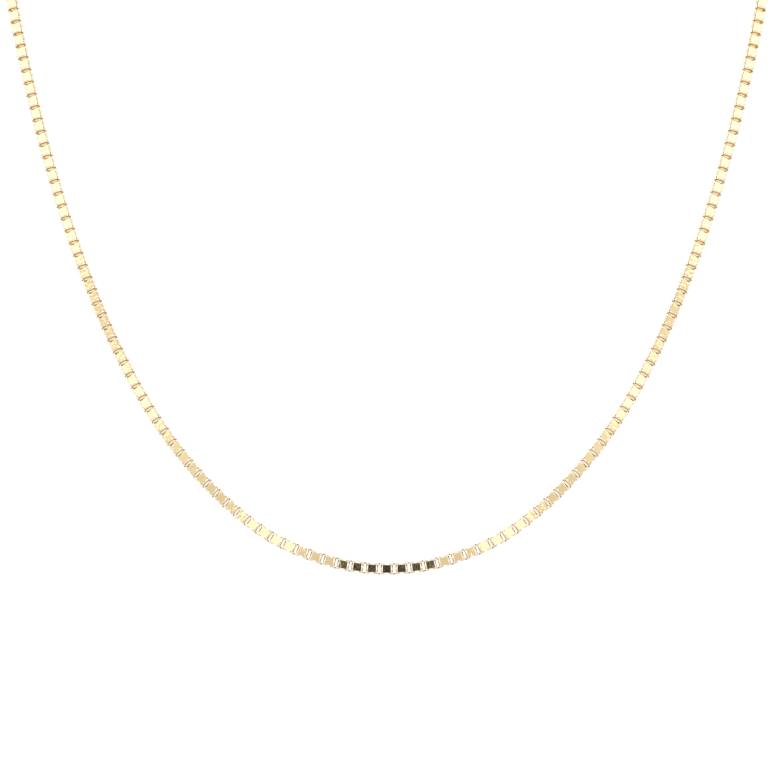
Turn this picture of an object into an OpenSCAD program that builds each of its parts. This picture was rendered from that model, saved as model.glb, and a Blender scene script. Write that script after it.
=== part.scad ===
// Box chain necklace, closed at the nape and hanging in its worn shape.
// The origin is the middle of the nape, +Z is up and the front of the necklace faces -Y.
// The chain is a swept solid with the outline of its links: four flats and four cut corners.
// Its last link at each end, the two jump rings and the clasp are real pieces that hook together.

/* [Loop] */
// Width of the loop at its widest, over the shoulders
loop_w = 112; // [100:1:130]
// Depth of the loop from the nape to the front
loop_depth = 112; // [100:1:130]
// Drop from the nape to the lowest point of the front
loop_drop = 116; // [100:1:135]

/* [Chain] */
// Width across the chain
chain_w = 1.5; // [1.4:0.05:1.8]
// Thickness of the strip that the links are bent from
strip_t = 0.2; // [0.15:0.01:0.22]
// Length of a link along the chain
link_l = 1.56; // [1.5:0.01:1.62]
// Room that a link has on each side where it passes through the next one
link_play = 0.03; // [0.02:0.005:0.05]

/* [Jump rings] */
// Thickness of a jump ring's wire
ring_wire = 0.45; // [0.35:0.05:0.5]
// Inside width of a jump ring
ring_bore = 2.5; // [2.4:0.1:3.5]

/* [Clasp] */
// Thickness of the clasp's round bar
clasp_wire = 1.2; // [0.8:0.1:1.4]
// Inside width of the clasp
clasp_bore = 3.4; // [3:0.1:5]
// Thickness of the wire of the clasp's eye
eye_wire = 0.5; // [0.4:0.05:0.7]
// Inside width of the clasp's eye
eye_bore = 1.4; // [1.2:0.1:2]

/* [Fits] */
// Gap wherever two pieces hook into each other
hook_gap = 0.1; // [0.1:0.01:0.15]
// Gap between the swept chain and its last link
end_gap = 0.1; // [0.1:0.01:0.2]

/* [Hidden] */
gold = "#e0b85c";

// The strip is as wide as passes through the opening of the next link
strip_w = chain_w - 2 * strip_t - 2 * link_play;

// The clasp, its eye and the rings lie in one row along X, worked out first from the clasp's centre
clasp_r = (clasp_bore + clasp_wire) / 2;
eye_r = (eye_bore + eye_wire) / 2;
ring_r = (ring_bore + ring_wire) / 2;
eye_from_clasp = -(clasp_bore / 2 + clasp_wire - eye_wire / 2) - eye_r;
left_ring_from_clasp = eye_from_clasp - eye_bore / 2 + hook_gap - ring_bore / 2;
right_ring_from_clasp = clasp_bore / 2 - hook_gap + ring_bore / 2;

// Distance from a ring's centre to the side of the link's end bar that its wire hooks behind. The
// curved wire comes closest to that side at the two edges of the strip.
bar_from_ring = sqrt(pow(ring_bore / 2 - hook_gap, 2) - pow(strip_w / 2, 2));
left_end_from_clasp = left_ring_from_clasp - bar_from_ring + strip_t;
right_end_from_clasp = right_ring_from_clasp + bar_from_ring - strip_t;

// The row is then centred on the nape
clasp_x = -(left_end_from_clasp + right_end_from_clasp) / 2;
eye_x = clasp_x + eye_from_clasp;
left_ring_x = clasp_x + left_ring_from_clasp;
right_ring_x = clasp_x + right_ring_from_clasp;
link_x = (right_end_from_clasp - left_end_from_clasp + link_l) / 2;
chain_end_x = link_x + link_l / 2 + end_gap;

// Right half of the chain's route from the lowest point of the front up to the nape, in mm for a loop
// of route_size: half its width, its depth and its drop. The front lies in one plane that leans back.
route_size = [56, 112, 116];
route = [
    [0, -112, -116], [5, -111.8, -115.6], [10, -111.15, -114.3], [15, -110.1, -112.2],
    [20, -108.4, -108.8], [25, -106.15, -104.3], [30, -103.2, -98.4], [35, -99.25, -90.5],
    [40, -94.1, -80.2], [45, -87.5, -67], [50, -78.7, -49.4], [52.2, -73.4, -40],
    [54.5, -65.4, -31], [55.9, -55.7, -22.8], [55.9, -44.8, -15.5], [53.8, -33.4, -9.7],
    [49.1, -22.7, -5.4], [41.7, -13.8, -2.6], [32.4, -7, -0.9], [21.7, -2.4, -0.2], [11, -0.3, 0]
];
// Distance along the chain from one cross-section of the swept solid to the next
section_step = 5.8;
// On the front the chain's outer side is turned up by this angle from facing straight ahead
front_tilt = 13;
// Shares of the depth, counted from the nape: where the chain starts to turn its outer side away from
// the front, where it has turned all the way, and the middle of the neck that it then faces away from
turn_start = 0.8;
turn_end = 0.1;
neck_middle = 0.49;

// The whole route from the left end to the right end, stretched to the size of the loop
stretch = [loop_w / 2 / route_size.x, loop_depth / route_size.y, loop_drop / route_size.z];
stretched = [for (p = route) [p.x * stretch.x, p.y * stretch.y, p.z * stretch.z]];
half = concat(stretched, [[chain_end_x, 0, 0]]);
last = len(half) - 1;
path = concat([for (i = [last:-1:1]) [-half[i].x, half[i].y, half[i].z]], half);
end_slope = [-1, 0, 0];

function span(i) = norm(path[i + 1] - path[i]);
function heading(i) = (path[i + 1] - path[i]) / span(i);
function slope(i) =
    i == 0 || i == len(path) - 1 ? end_slope
    : (heading(i) * span(i - 1) + heading(i - 1) * span(i)) / (span(i) + span(i - 1));

// Point and direction at the share u of a span, on one smooth curve through the route's points
function curve_point(i, u) =
    (2 * pow(u, 3) - 3 * u * u + 1) * path[i] + (3 * u * u - 2 * pow(u, 3)) * path[i + 1]
    + span(i) * ((pow(u, 3) - 2 * u * u + u) * slope(i) + (pow(u, 3) - u * u) * slope(i + 1));
function curve_direction(i, u) =
    (6 * u * u - 6 * u) * (path[i] - path[i + 1])
    + span(i) * ((3 * u * u - 4 * u + 1) * slope(i) + (3 * u * u - 2 * u) * slope(i + 1));

// Direction that the chain's outer side faces at a point of the route. On the front it is ahead and a
// little up, and round the sides and the nape it is away from the middle of the neck.
front_facing = [0, -cos(front_tilt), sin(front_tilt)];
function ease(u) = u <= 0 ? 0 : u >= 1 ? 1 : u * u * (3 - 2 * u);
function facing(p) =
    let (
        turned = ease((p.y / loop_depth + turn_start) / (turn_start - turn_end)),
        away = [p.x, p.y + neck_middle * loop_depth, 0]
    )
    (1 - turned) * front_facing + turned * away / norm(away);

// Outline of the chain across its length, from the width of the links and of their strip
outline = [
    [chain_w, strip_w] / 2, [strip_w, chain_w] / 2, [-strip_w, chain_w] / 2, [-chain_w, strip_w] / 2,
    [-chain_w, -strip_w] / 2, [-strip_w, -chain_w] / 2, [strip_w, -chain_w] / 2, [chain_w, -strip_w] / 2
];
sides = len(outline);
function section(p, direction) =
    let (
        along = direction / norm(direction),
        outward = facing(p) - (facing(p) * along) * along,
        out = outward / norm(outward),
        across = cross(along, out)
    )
    [for (corner = outline) p + corner.x * across + corner.y * out];

stations = concat(
    [for (i = [0:len(path) - 2], steps = max(1, round(span(i) / section_step)), k = [0:steps - 1])
        [i, k / steps]],
    [[len(path) - 2, 1]]
);

module box_chain() {
    rings = [for (s = stations) section(curve_point(s[0], s[1]), curve_direction(s[0], s[1]))];
    corners = [for (ring = rings, corner = ring) corner];
    walls = [
        for (j = [0:len(rings) - 2], k = [0:sides - 1])
            let (a = j * sides + k, b = j * sides + (k + 1) % sides)
            each [[a, b, b + sides], [a, b + sides, a + sides]]
    ];
    near_cap = [for (k = [sides - 1:-1:0]) k];
    far_cap = [for (k = [0:sides - 1]) (len(rings) - 1) * sides + k];
    color(gold) polyhedron(corners, concat(walls, [near_cap, far_cap]));
}

// A link is a strip bent to a frame, with its outside corners round and its inside corners square
module end_link(x) {
    color(gold) translate([x, 0, 0]) rotate([90, 0, 0])
        linear_extrude(strip_w, center = true) difference() {
            union() {
                square([link_l - 2 * strip_t, chain_w], center = true);
                square([link_l, chain_w - 2 * strip_t], center = true);
                for (sx = [-1, 1], sy = [-1, 1])
                    translate([sx * (link_l / 2 - strip_t), sy * (chain_w / 2 - strip_t)])
                        circle(strip_t, $fn = 24);
            }
            square([link_l - 2 * strip_t, chain_w - 2 * strip_t], center = true);
        }
}

module wire_ring(r, wire) {
    rotate_extrude($fn = 48) translate([r, 0]) circle(d = wire, $fn = 24);
}

module jump_ring(x) {
    color(gold) translate([x, 0, 0]) wire_ring(ring_r, ring_wire);
}

module clasp() {
    color(gold) rotate([90, 0, 0]) {
        translate([clasp_x, 0, 0]) wire_ring(clasp_r, clasp_wire);
        translate([eye_x, 0, 0]) wire_ring(eye_r, eye_wire);
    }
}

box_chain();
end_link(-link_x);  // end_link_left
end_link(link_x);  // end_link_right
jump_ring(left_ring_x);  // jump_ring_left
jump_ring(right_ring_x);  // jump_ring_right
clasp();
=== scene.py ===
# Fine box chain necklace in yellow gold, in its worn shape and closed at the nape. The chain is 487
# square links bent from flat strip. Each one passes through the next, and every second one is turned
# a quarter round the chain. Lengths are in metres.
import bisect
import math

import bmesh
import bpy
from mathutils import Matrix, Vector


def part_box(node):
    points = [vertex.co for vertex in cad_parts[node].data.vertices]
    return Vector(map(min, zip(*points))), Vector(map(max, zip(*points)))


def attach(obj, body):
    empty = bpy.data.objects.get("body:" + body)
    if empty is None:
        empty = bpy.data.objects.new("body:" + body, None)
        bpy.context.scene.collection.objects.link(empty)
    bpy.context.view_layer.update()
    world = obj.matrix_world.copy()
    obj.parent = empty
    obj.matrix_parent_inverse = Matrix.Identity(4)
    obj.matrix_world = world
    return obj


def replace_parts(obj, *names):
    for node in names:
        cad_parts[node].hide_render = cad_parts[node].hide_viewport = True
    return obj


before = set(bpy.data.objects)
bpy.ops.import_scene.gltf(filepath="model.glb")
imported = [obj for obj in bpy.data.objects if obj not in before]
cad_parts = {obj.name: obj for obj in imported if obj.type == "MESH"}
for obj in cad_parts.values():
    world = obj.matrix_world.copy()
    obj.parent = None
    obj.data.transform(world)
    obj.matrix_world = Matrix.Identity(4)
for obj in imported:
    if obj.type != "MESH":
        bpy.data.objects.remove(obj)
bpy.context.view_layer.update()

# Right half of the centre line, from the lowest point of the front up to the nape
ROUTE = [
    (0, -0.112, -0.116), (0.005, -0.1118, -0.1156), (0.010, -0.11115, -0.1143),
    (0.015, -0.1101, -0.1122), (0.020, -0.1084, -0.1088), (0.025, -0.10615, -0.1043),
    (0.030, -0.1032, -0.0984), (0.035, -0.09925, -0.0905), (0.040, -0.0941, -0.0802),
    (0.045, -0.0875, -0.0670), (0.050, -0.0787, -0.0494), (0.0522, -0.0734, -0.0400),
    (0.0545, -0.0654, -0.0310), (0.0559, -0.0557, -0.0228), (0.0559, -0.0448, -0.0155),
    (0.0538, -0.0334, -0.0097), (0.0491, -0.0227, -0.0054), (0.0417, -0.0138, -0.0026),
    (0.0324, -0.0070, -0.0009), (0.0217, -0.0024, -0.0002), (0.0110, -0.0003, 0),
]
DEPTH = -ROUTE[0][1]
END_SLOPE = Vector((-1, 0, 0))
# Straight steps that make one span of the smooth line between two points of the route
SPAN_STEPS = 40
# On the front the chain's outer side is turned up by this angle from facing straight ahead
FRONT_TILT = math.radians(13)
# Shares of the depth, counted from the nape: where the chain starts to turn its outer side away from
# the front, where it has turned all the way, and the middle of the neck that it then faces away from
TURN_START = 0.8
TURN_END = 0.1
NECK_MIDDLE = 0.49

# The links: their number, width across the chain, length along it, and the strip's thickness. The
# strip is as wide as passes through the opening of the next link, with play on each side.
LINKS = 487
CHAIN_W = 0.0015
LINK_L = 0.00156
STRIP_T = 0.0002
LINK_PLAY = 0.00003
STRIP_W = CHAIN_W - 2 * STRIP_T - 2 * LINK_PLAY
# Outside radius of a link's bends, and the flats that make one bend
BEND_R = 0.00026
BEND_STEPS = 3
# Tumbling in the polish rounds the long edges of the strip this far in
EDGE_ROUND = 0.000035
# Faces of the strip larger than this are shaded as flat mirrors
BROAD_AREA = 3e-7

# The links have play, and those of the front don't hang quite evenly. Each row is a count of links
# from the lowest one, and how far a link there lies outwards of its even place.
SLIDE = [
    (0, 0), (4, 0.00016), (8, 0.00020), (22, 0.00035), (40, 0.00031), (78, 0.00008), (100, 0.00007),
    (112, 0.00012), (LINKS // 2, 0),
]

# Jump rings and clasp: thickness of the wire and inside width
RING_WIRE = 0.00045
RING_BORE = 0.0025
CLASP_WIRE = 0.0012
CLASP_BORE = 0.0034
EYE_WIRE = 0.0005
EYE_BORE = 0.0014
# Sides of a round wire, and steps of the ring that it is bent to
WIRE_SIDES = 16
RING_STEPS = 64

# Places along the nape, from the frame: the centre of the right end link and the end of the chain
# beside it. The left end is the mirror image.
right_low, right_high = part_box("end_link_right")
LINK_X = (right_low.x + right_high.x) / 2
END_GAP = 0.0001
CHAIN_END_X = right_high.x + END_GAP


# The centre line

def route_points():
    """The chosen points of the whole centre line, from the left end to the right end."""
    right = [Vector(point) for point in ROUTE] + [Vector((CHAIN_END_X, 0, 0))]
    left = [Vector((-point.x, point.y, point.z)) for point in reversed(right[1:])]
    return left + right


def smooth_line(points):
    """Close-set points on one smooth curve through the route's points."""
    spans = [(b - a).length for a, b in zip(points, points[1:])]
    headings = [(b - a) / span for a, b, span in zip(points, points[1:], spans)]
    slopes = [END_SLOPE]
    for i in range(1, len(spans)):
        slopes.append((headings[i] * spans[i - 1] + headings[i - 1] * spans[i]) / (spans[i] + spans[i - 1]))
    slopes.append(END_SLOPE)
    line = []
    for i, span in enumerate(spans):
        for k in range(SPAN_STEPS):
            u = k / SPAN_STEPS
            line.append(
                (2 * u**3 - 3 * u**2 + 1) * points[i] + (3 * u**2 - 2 * u**3) * points[i + 1]
                + span * ((u**3 - 2 * u**2 + u) * slopes[i] + (u**3 - u**2) * slopes[i + 1])
            )
    line.append(points[-1])
    return line


class CentreLine:
    """The centre line measured along its length, between the centres of the two end links."""

    def __init__(self):
        self.points = [Vector((-LINK_X, 0, 0))] + smooth_line(route_points()) + [Vector((LINK_X, 0, 0))]
        self.marks = [0.0]
        for a, b in zip(self.points, self.points[1:]):
            self.marks.append(self.marks[-1] + (b - a).length)
        self.length = self.marks[-1]

    def at(self, distance):
        """The point at a distance from the left end link's centre, straight on past the ends."""
        i = bisect.bisect_right(self.marks, distance, 1, len(self.marks) - 1) - 1
        share = (distance - self.marks[i]) / (self.marks[i + 1] - self.marks[i])
        return self.points[i].lerp(self.points[i + 1], share)


def ease(u):
    """A smooth rise from 0 to 1."""
    u = min(max(u, 0), 1)
    return u * u * (3 - 2 * u)


def facing(point):
    """The way that the chain's outer side faces: ahead and a little up on the front, and away from the
    middle of the neck round the sides and the nape."""
    front = Vector((0, -math.cos(FRONT_TILT), math.sin(FRONT_TILT)))
    away = Vector((point.x, point.y + NECK_MIDDLE * DEPTH, 0)).normalized()
    turned = ease((point.y / DEPTH + TURN_START) / (TURN_START - TURN_END))
    return front.lerp(away, turned)


def slid_by(number):
    """How far along the chain a link lies from its even place."""
    count = number - LINKS // 2
    for (near, near_slide), (far, far_slide) in zip(SLIDE, SLIDE[1:]):
        if abs(count) <= far:
            share = (abs(count) - near) / (far - near)
            return math.copysign(near_slide + share * (far_slide - near_slide), count)


def link_place(line, number, pitch):
    """Turns and moves a link from the origin to its place in the chain."""
    distance = number * pitch + slid_by(number)
    centre = line.at(distance)
    along = (line.at(distance + pitch / 2) - line.at(distance - pitch / 2)).normalized()
    out = facing(centre)
    out = (out - out.dot(along) * along).normalized()
    across = along.cross(out)
    if number % 2 == 0:
        width, hole = across, -out
    else:
        width, hole = out, across
    turn = Matrix((along, width, hole)).transposed()
    return Matrix.Translation(centre) @ turn.to_4x4()


# The pieces

def new_piece(bm, name, materials):
    """Makes a finished mesh a piece of the necklace."""
    bmesh.ops.recalc_face_normals(bm, faces=bm.faces)
    mesh = bpy.data.meshes.new(name)
    bm.to_mesh(mesh)
    bm.free()
    mesh.shade_smooth()
    for material in materials:
        mesh.materials.append(material)
    piece = bpy.data.objects.new(name, mesh)
    bpy.context.scene.collection.objects.link(piece)
    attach(piece, "root")
    return piece


# How nearly a face looks along an axis, as the cosine of its angle to it
SQUARELY = 0.99
MOSTLY = 0.5
PARTLY = 0.2
# Places of a link's materials: its open faces, its inside and hidden ends, and its rims and bends,
# whose paler tone is a painted highlight
FACES, RECESSES, EDGES = range(3)


def link_mesh():
    """One link at the origin: a strip bent to a frame, its length along X, its width along Y and its
    hole along Z, with round outside corners and square inside corners."""
    bm = bmesh.new()
    bmesh.ops.create_cube(bm, size=1, matrix=Matrix.Diagonal((LINK_L, CHAIN_W, STRIP_W, 1)))
    open_ends = [face for face in bm.faces if abs(face.normal.z) > MOSTLY]
    bmesh.ops.delete(bm, geom=open_ends, context="FACES")
    corners = [edge for edge in bm.edges if not edge.is_boundary]
    bmesh.ops.bevel(
        bm, geom=corners, affect="EDGES", offset=BEND_R, segments=BEND_STEPS, profile=0.5, material=-1)
    bmesh.ops.recalc_face_normals(bm, faces=bm.faces)
    strip_edges = [edge for edge in bm.edges if edge.is_boundary]
    bmesh.ops.solidify(bm, geom=bm.faces[:], thickness=STRIP_T)
    bmesh.ops.bevel(
        bm, geom=strip_edges, affect="EDGES", offset=EDGE_ROUND, segments=1, profile=0.5, material=-1)
    for edge in bm.edges:
        edge.smooth = all(face.calc_area() < BROAD_AREA for face in edge.link_faces)
    bmesh.ops.recalc_face_normals(bm, faces=bm.faces)
    mark_crevices(bm)
    mesh = bpy.data.meshes.new("link")
    bm.to_mesh(mesh)
    bm.free()
    return mesh


def mark_crevices(bm):
    """Gives each face of a link its material, and a map of where painted shade darkens the crevices. The
    map's U is a whole number along a crevice and half-way between two in the open. Crevices run beside
    the strip's edges inside the link and on its hidden ends, and on its rims where they pass between the
    ends of the next two links. V is 0, and on a rim it rises to 1 from the inner edge to the outer one,
    towards which the painted shade fades out."""
    crevice = bm.loops.layers.uv.new("crevice")
    for face in bm.faces:
        hidden_end = abs(face.normal.x) > SQUARELY
        rim = abs(face.normal.z) > MOSTLY
        bend = abs(face.normal.x) > PARTLY and abs(face.normal.y) > PARTLY
        inside = not rim and face.normal.dot(face.calc_center_median()) < 0
        if rim or bend and not inside:
            face.material_index = EDGES
        elif hidden_end or inside:
            face.material_index = RECESSES
        else:
            face.material_index = FACES
        for loop in face.loops:
            place = loop.vert.co
            # On a rim, how far a corner lies from the inner edge towards the outer one, over which the
            # painted shade fades
            outward_on_rim = 0
            if rim:
                mark = place.x / STRIP_W + 1
                outward_on_rim = (abs(place.y) - CHAIN_W / 2) / STRIP_T + 1
            elif hidden_end or inside:
                mark = place.z / STRIP_W + 0.5
            else:
                mark = 0.5
            loop[crevice].uv = (mark, outward_on_rim)


def links(numbers, link, line, pitch):
    """The links with these numbers, each in its place, in one bmesh."""
    bm = bmesh.new()
    for number in numbers:
        placed = link.copy()
        placed.transform(link_place(line, number, pitch))
        bm.from_mesh(placed)
        bpy.data.meshes.remove(placed)
    return bm


def make_chain(materials):
    """The chain between the two end links as one piece, and each end link as a piece of its own."""
    line = CentreLine()
    pitch = line.length / (LINKS - 1)
    link = link_mesh()
    for name, node, numbers in (
        ("chain_links", "box_chain", range(1, LINKS - 1)),
        ("left_end_link", "end_link_left", [0]),
        ("right_end_link", "end_link_right", [LINKS - 1]),
    ):
        piece = new_piece(links(numbers, link, line, pitch), name, materials)
        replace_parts(piece, node)
    bpy.data.meshes.remove(link)


def wire_ring(bm, centre, radius, wire, axis):
    """A closed ring of round wire."""
    side = Vector((1, 0, 0))
    turn = Matrix((side, axis.cross(side), axis)).transposed().to_4x4()
    section = Matrix.Translation(centre + side * radius) @ turn @ Matrix.Rotation(math.pi / 2, 4, "X")
    rim = bmesh.ops.create_circle(
        bm, cap_ends=False, radius=wire / 2, segments=WIRE_SIDES, matrix=section)["verts"]
    rim_edges = [edge for edge in bm.edges if edge.verts[0] in rim]
    bmesh.ops.spin(
        bm, geom=rim + rim_edges, cent=centre, axis=axis, angle=math.tau, steps=RING_STEPS, use_merge=True)


def make_jump_ring(name, node, material):
    """A jump ring, which lies flat round the nape."""
    low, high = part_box(node)
    bm = bmesh.new()
    wire_ring(bm, (low + high) / 2, (RING_BORE + RING_WIRE) / 2, RING_WIRE, Vector((0, 0, 1)))
    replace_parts(new_piece(bm, name, [material]), node)


def make_clasp(material):
    """A plain closed ring of round bar with an eye of thinner wire."""
    low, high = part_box("clasp")
    bm = bmesh.new()
    ring_x = high.x - CLASP_BORE / 2 - CLASP_WIRE
    eye_x = low.x + EYE_BORE / 2 + EYE_WIRE
    across = Vector((0, 1, 0))
    wire_ring(bm, Vector((ring_x, 0, 0)), (CLASP_BORE + CLASP_WIRE) / 2, CLASP_WIRE, across)
    wire_ring(bm, Vector((eye_x, 0, 0)), (EYE_BORE + EYE_WIRE) / 2, EYE_WIRE, across)
    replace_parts(new_piece(bm, "ring_clasp", [material]), "clasp")


# Materials

# Tones of the polished gold, which is paler than fine gold. The strip's rims and bends have a paler,
# less yellow tone than its faces and the wire, which is a painted highlight for the glare they catch.
FACE_TONES = ("#F9E3B2", "#F7DEA8")
EDGE_HIGHLIGHT_TONES = ("#EBD9BE", "#E4D1B6")
# Tone inside the links and on their hidden ends
RECESS_TONE = "#F8DEA6"
# Colours of painted shade in the crevices of the gold, outside and inside the links
CREVICE_SHADE = "#6E5E44"
INNER_CREVICE_SHADE = "#94743E"
# Where the painted shade starts to thin out and where it has gone: away from a crevice, as a share of
# the strip's width, and away from a rim's inner edge, as a share of the rim's width
CREVICE_SHADE_FADE = (0.04, 0.16)
RIM_SHADE_FADE = (0.6, 1.05)
# Rolling and drawing leave low waves in strip and wire, of this size and depth. The tone changes over
# patches. Both patterns have this many sizes of smaller detail.
WAVE_SIZE = 0.0004
WAVE_DEPTH = 0.000006
PATCH_SIZE = 0.003
FINER_SIZES = 1.0
# Roughness from the smoothest to the roughest place of the tumbled gold, and inside the links
TUMBLED = (0.02, 0.05)
RECESS_ROUGHNESS = 0.1
# The paper of the floor
PAPER_TONES = ("#F8F8F8", "#F4F4F4")
PAPER_GRAIN = 0.002
PAPER_ROUGHNESS = 0.9


def colour(code):
    """The linear colour of an sRGB hex value."""
    parts = [int(code[i:i + 2], 16) / 255 for i in (1, 3, 5)]
    return (*[part / 12.92 if part <= 0.04045 else ((part + 0.055) / 1.055) ** 2.4 for part in parts], 1)


def add_node(tree, kind, settings=None, **inputs):
    """Adds a node with its settings. An input is given by its name, or by its number after an
    underscore, and is a value, or the output that is linked to it."""
    node = tree.nodes.new(kind)
    for name, value in (settings or {}).items():
        setattr(node, name, value)
    for name, value in inputs.items():
        socket = node.inputs[int(name[1:])] if name[0] == "_" else node.inputs[name.replace("_", " ")]
        if isinstance(value, bpy.types.NodeSocket):
            tree.links.new(value, socket)
        else:
            socket.default_value = value
    return node


def new_material(name):
    """An empty material and its node tree."""
    material = bpy.data.materials.new(name)
    material.use_nodes = True
    tree = material.node_tree
    tree.nodes.clear()
    return material, tree


def crevice_shade_share(tree):
    """The share of painted shade: 1 in a crevice and 0 in the open, from the links' map, and thinning out on
    a rim towards its outer edge.
    """
    mark = add_node(tree, "ShaderNodeUVMap", {"uv_map": "crevice"}).outputs["UV"]
    parts = add_node(tree, "ShaderNodeSeparateXYZ", Vector=mark)
    openness = add_node(tree, "ShaderNodeMath", {"operation": "PINGPONG"}, _0=parts.outputs["X"], _1=0.5)
    closed = add_node(
        tree, "ShaderNodeMapRange", {"interpolation_type": "SMOOTHSTEP"}, Value=openness.outputs[0],
        From_Min=CREVICE_SHADE_FADE[0], From_Max=CREVICE_SHADE_FADE[1], To_Min=1.0, To_Max=0.0)
    rim_shaded = add_node(
        tree, "ShaderNodeMapRange", {"interpolation_type": "SMOOTHSTEP"}, Value=parts.outputs["Y"],
        From_Min=RIM_SHADE_FADE[0], From_Max=RIM_SHADE_FADE[1], To_Min=1.0, To_Max=0.0)
    share = add_node(
        tree, "ShaderNodeMath", {"operation": "MULTIPLY"},
        _0=closed.outputs["Result"], _1=rim_shaded.outputs["Result"])
    return share.outputs[0]


def polished_gold(name, tones, with_crevice_shade):
    """14 carat yellow gold, rolled to strip or drawn to wire, bent, and tumbled to a mirror polish. It
    shows whatever surrounds it, in reflections that the low waves make a little uneven."""
    material, tree = new_material(name)
    place = add_node(tree, "ShaderNodeTexCoord").outputs["Object"]
    waves = add_node(tree, "ShaderNodeTexNoise", Vector=place, Scale=1 / WAVE_SIZE, Detail=FINER_SIZES)
    patches = add_node(tree, "ShaderNodeTexNoise", Vector=place, Scale=1 / PATCH_SIZE, Detail=FINER_SIZES)
    shade = add_node(
        tree, "ShaderNodeMix", {"data_type": "RGBA"},
        _0=patches.outputs["Fac"], _6=colour(tones[0]), _7=colour(tones[1])).outputs[2]
    # With crevices, painted shade darkens the tone in the links' crevices
    if with_crevice_shade:
        shade = add_node(
            tree, "ShaderNodeMix", {"data_type": "RGBA"},
            _0=crevice_shade_share(tree), _6=shade, _7=colour(CREVICE_SHADE)).outputs[2]
    rough = add_node(
        tree, "ShaderNodeMapRange", Value=waves.outputs["Fac"], To_Min=TUMBLED[0], To_Max=TUMBLED[1])
    uneven = add_node(tree, "ShaderNodeBump", Height=waves.outputs["Fac"], Distance=WAVE_DEPTH)
    metal = add_node(
        tree, "ShaderNodeBsdfPrincipled", Base_Color=shade, Metallic=1.0,
        Roughness=rough.outputs["Result"], Normal=uneven.outputs["Normal"])
    add_node(tree, "ShaderNodeOutputMaterial", Surface=metal.outputs["BSDF"])
    return material


def recess_gold():
    """The same gold inside the links and on their hidden ends. Tumbling reaches it less, so it is a
    little rougher and mirrors softly, and painted shade darkens it beside the strip's edges."""
    material, tree = new_material("tumbled_14_carat_recesses")
    # Painted shade darkens the tone beside the strip's edges
    shade = add_node(
        tree, "ShaderNodeMix", {"data_type": "RGBA"},
        _0=crevice_shade_share(tree), _6=colour(RECESS_TONE), _7=colour(INNER_CREVICE_SHADE))
    metal = add_node(
        tree, "ShaderNodeBsdfPrincipled", Base_Color=shade.outputs[2], Metallic=1.0,
        Roughness=RECESS_ROUGHNESS)
    add_node(tree, "ShaderNodeOutputMaterial", Surface=metal.outputs["BSDF"])
    return material


def white_paper():
    """Matt white paper, whose fibres show as a faint grain."""
    material, tree = new_material("matt_white_paper")
    place = add_node(tree, "ShaderNodeTexCoord").outputs["Object"]
    grain = add_node(tree, "ShaderNodeTexNoise", Vector=place, Scale=1 / PAPER_GRAIN)
    shade = add_node(
        tree, "ShaderNodeMix", {"data_type": "RGBA"},
        _0=grain.outputs["Fac"], _6=colour(PAPER_TONES[0]), _7=colour(PAPER_TONES[1]))
    paper = add_node(
        tree, "ShaderNodeBsdfPrincipled", Base_Color=shade.outputs[2], Roughness=PAPER_ROUGHNESS)
    add_node(tree, "ShaderNodeOutputMaterial", Surface=paper.outputs["BSDF"])
    return material


# The floor and the light

FLOOR_Z = -0.3
FLOOR_SIZE = 9.0


def make_floor():
    """A wide pale floor below the hanging necklace."""
    bm = bmesh.new()
    bmesh.ops.create_grid(
        bm, x_segments=1, y_segments=1, size=FLOOR_SIZE / 2, matrix=Matrix.Translation((0, 0, FLOOR_Z)))
    mesh = bpy.data.meshes.new("floor")
    bm.to_mesh(mesh)
    bm.free()
    mesh.materials.append(white_paper())
    floor = bpy.data.objects.new("floor", mesh)
    bpy.context.scene.collection.objects.link(floor)


# Angles of the studio are in degrees: round the necklace from the front, and up from the horizon. The
# white tent has a brightness in front, overhead and behind, and wide soft edges between them.
TENT = 1.9
ROOF = 1.4
ROOF_FROM = 62
BACK = 1.3
BACK_FROM = 125
TENT_EDGE = 15
# Straight behind is at 180 degrees and straight up at 90. The tent's far edges lie past them, where no
# direction reaches.
PAST_BACK = 180 + 2 * TENT_EDGE
PAST_ROOF = 90 + 2 * TENT_EDGE
# The dark flag at each side of the necklace
FLAG = 0.25
FLAG_NEAR = 62
FLAG_FAR = 120
FLAG_LOW = 10
FLAG_HIGH = 62
FLAG_EDGE = 8
# What the polished faces of the front show: the dark lens with thin paler rings of its glass, and round
# it the softbox with greyer rings. Each stop is an angle away from the lens and a brightness.
LENS_HEIGHT = math.radians(13)
RINGS = [
    (0.4, 0.17), (0.6, 0.03), (1.6, 0.03), (1.8, 0.19), (2.3, 0.19), (2.5, 0.03), (3.5, 0.03),
    (3.7, 0.19), (4.3, 0.19), (4.5, 0.03), (5.5, 0.03), (5.7, 0.21), (6.2, 0.21), (6.5, 0.05), (7.1, 0.1),
    (7.3, 0.79), (11.9, 0.79), (12.2, 1.5), (19.7, 1.5), (20, 0.9), (21.2, 0.8), (23.2, 0.82),
    (24.8, 0.98), (26, 0.93), (27, 1.6), (28.7, 1.9), (29.5, 1.55), (29.65, 0.82), (30.4, 1.02),
    (31.1, 0.82), (31.9, 1.02), (31.97, 1.8),
]
SOFTBOX_EDGE = 50
SOFTBOX_FADE = 8
# Colours end at 1, so a brightness is kept as a share of this one
BRIGHTEST = 2.5


def grey(level):
    """A neutral colour of a brightness, as a share of the brightest."""
    return (*[level / BRIGHTEST] * 3, 1)


def angle(tree, operation, **inputs):
    """The angle that an inverse function of trigonometry gives, in degrees."""
    radians = add_node(tree, "ShaderNodeMath", {"operation": operation}, **inputs)
    return add_node(tree, "ShaderNodeMath", {"operation": "DEGREES"}, _0=radians.outputs[0]).outputs[0]


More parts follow.
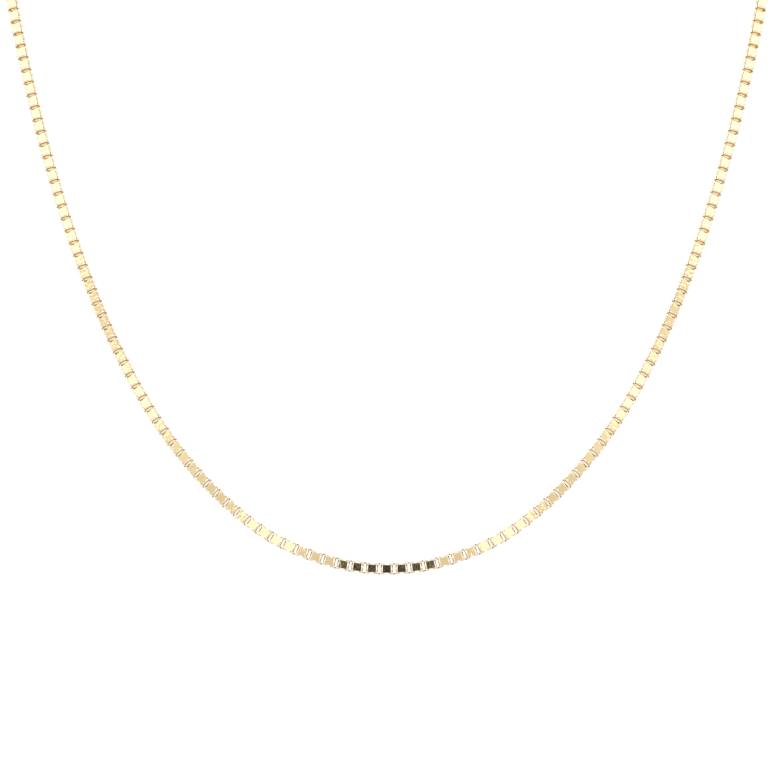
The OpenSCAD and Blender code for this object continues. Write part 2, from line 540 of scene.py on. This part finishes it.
def between(tree, value, low, high, edge):
    """1 between two angles and 0 outside them, with soft edges."""
    rise = add_node(
        tree, "ShaderNodeMapRange", {"interpolation_type": "SMOOTHSTEP"}, Value=value,
        From_Min=low - edge, From_Max=low + edge)
    fall = add_node(
        tree, "ShaderNodeMapRange", {"interpolation_type": "SMOOTHSTEP"}, Value=value,
        From_Min=high - edge, From_Max=high + edge, To_Min=1.0, To_Max=0.0)
    both = add_node(
        tree, "ShaderNodeMath", {"operation": "MULTIPLY"},
        _0=rise.outputs["Result"], _1=fall.outputs["Result"])
    return both.outputs[0]


def softbox_rings(tree, from_lens):
    """The lens and the rings of the softbox, by the angle away from the lens."""
    share = add_node(tree, "ShaderNodeMath", {"operation": "DIVIDE"}, _0=from_lens, _1=SOFTBOX_EDGE)
    node = add_node(tree, "ShaderNodeValToRGB", Fac=share.outputs[0])
    ramp = node.color_ramp
    while len(ramp.elements) < len(RINGS):
        ramp.elements.new(1.0)
    for element, (away, level) in zip(ramp.elements, RINGS):
        element.position = away / SOFTBOX_EDGE
        element.color = grey(level)
    return node.outputs["Color"]


def make_light():
    """Soft light from a white tent all round, with a dark flag at each side and a softbox in front that
    the lens looks through."""
    world = bpy.data.worlds.new("white_tent")
    bpy.context.scene.world = world
    world.use_nodes = True
    tree = world.node_tree
    tree.nodes.clear()
    towards = add_node(tree, "ShaderNodeTexCoord").outputs["Generated"]
    way = add_node(tree, "ShaderNodeSeparateXYZ", Vector=towards)
    ahead = add_node(tree, "ShaderNodeMath", {"operation": "MULTIPLY"}, _0=way.outputs["Y"], _1=-1.0)
    around = angle(tree, "ARCTAN2", _0=way.outputs["X"], _1=ahead.outputs[0])
    side = add_node(tree, "ShaderNodeMath", {"operation": "ABSOLUTE"}, _0=around).outputs[0]
    height = angle(tree, "ARCSINE", _0=way.outputs["Z"])
    lens = add_node(
        tree, "ShaderNodeVectorMath", {"operation": "DOT_PRODUCT"},
        _0=towards, _1=(0.0, -math.cos(LENS_HEIGHT), math.sin(LENS_HEIGHT)))
    from_lens = angle(tree, "ARCCOSINE", _0=lens.outputs["Value"])
    in_flag = add_node(
        tree, "ShaderNodeMath", {"operation": "MULTIPLY"},
        _0=between(tree, height, FLAG_LOW, FLAG_HIGH, FLAG_EDGE),
        _1=between(tree, side, FLAG_NEAR, FLAG_FAR, FLAG_EDGE))
    seen = grey(TENT)
    for share, laid_over in (
        (between(tree, side, BACK_FROM, PAST_BACK, TENT_EDGE), grey(BACK)),
        (between(tree, height, ROOF_FROM, PAST_ROOF, TENT_EDGE), grey(ROOF)),
        (in_flag.outputs[0], grey(FLAG)),
        (between(tree, from_lens, -SOFTBOX_EDGE, SOFTBOX_EDGE, SOFTBOX_FADE), softbox_rings(tree, from_lens)),
    ):
        seen = add_node(
            tree, "ShaderNodeMix", {"data_type": "RGBA"}, _0=share, _6=seen, _7=laid_over).outputs[2]
    light = add_node(tree, "ShaderNodeBackground", Color=seen, Strength=BRIGHTEST)
    add_node(tree, "ShaderNodeOutputWorld", Surface=light.outputs["Background"])


# The camera

# The photograph's view. The lowest link is seen at one pixel of the frame, this far from the lens. The
# sensor's width alone is in millimetres.
FRAME_PIXELS = 782
SENSOR = 36.0
CAMERA_PITCH = math.radians(10)
CAMERA_DISTANCE = 0.450
METRES_PER_PIXEL = 0.0001298
LOWEST_SEEN_AT = (386.8, 568.9)


def make_camera():
    """The camera at the photograph's angle."""
    data = bpy.data.cameras.new("camera")
    data.sensor_width = SENSOR
    data.lens = SENSOR * CAMERA_DISTANCE / METRES_PER_PIXEL / FRAME_PIXELS
    camera = bpy.data.objects.new("camera", data)
    bpy.context.scene.collection.objects.link(camera)
    turn = Matrix.Rotation(math.pi / 2 - CAMERA_PITCH, 3, "X")
    seen_x, seen_y = (pixel - FRAME_PIXELS / 2 for pixel in LOWEST_SEEN_AT)
    lowest = Vector((seen_x * METRES_PER_PIXEL, -seen_y * METRES_PER_PIXEL, -CAMERA_DISTANCE))
    camera.location = Vector(ROUTE[0]) - turn @ lowest
    camera.rotation_euler = turn.to_euler()
    bpy.context.scene.camera = camera


# The whole necklace and its studio. The links' materials are in the order of FACES, RECESSES and EDGES.

# The rims and bends get a paler tone as a painted highlight, and the strip and its rims painted shade in the
# crevices
make_chain([
    polished_gold("polished_14_carat_strip", FACE_TONES, True), recess_gold(),
    polished_gold("polished_14_carat_edges_painted_highlight", EDGE_HIGHLIGHT_TONES, True)])
gold = polished_gold("polished_14_carat_wire", FACE_TONES, False)
make_jump_ring("left_jump_ring", "jump_ring_left", gold)
make_jump_ring("right_jump_ring", "jump_ring_right", gold)
make_clasp(gold)
make_floor()
make_light()
make_camera()
bpy.context.scene.view_settings.view_transform = "Standard"
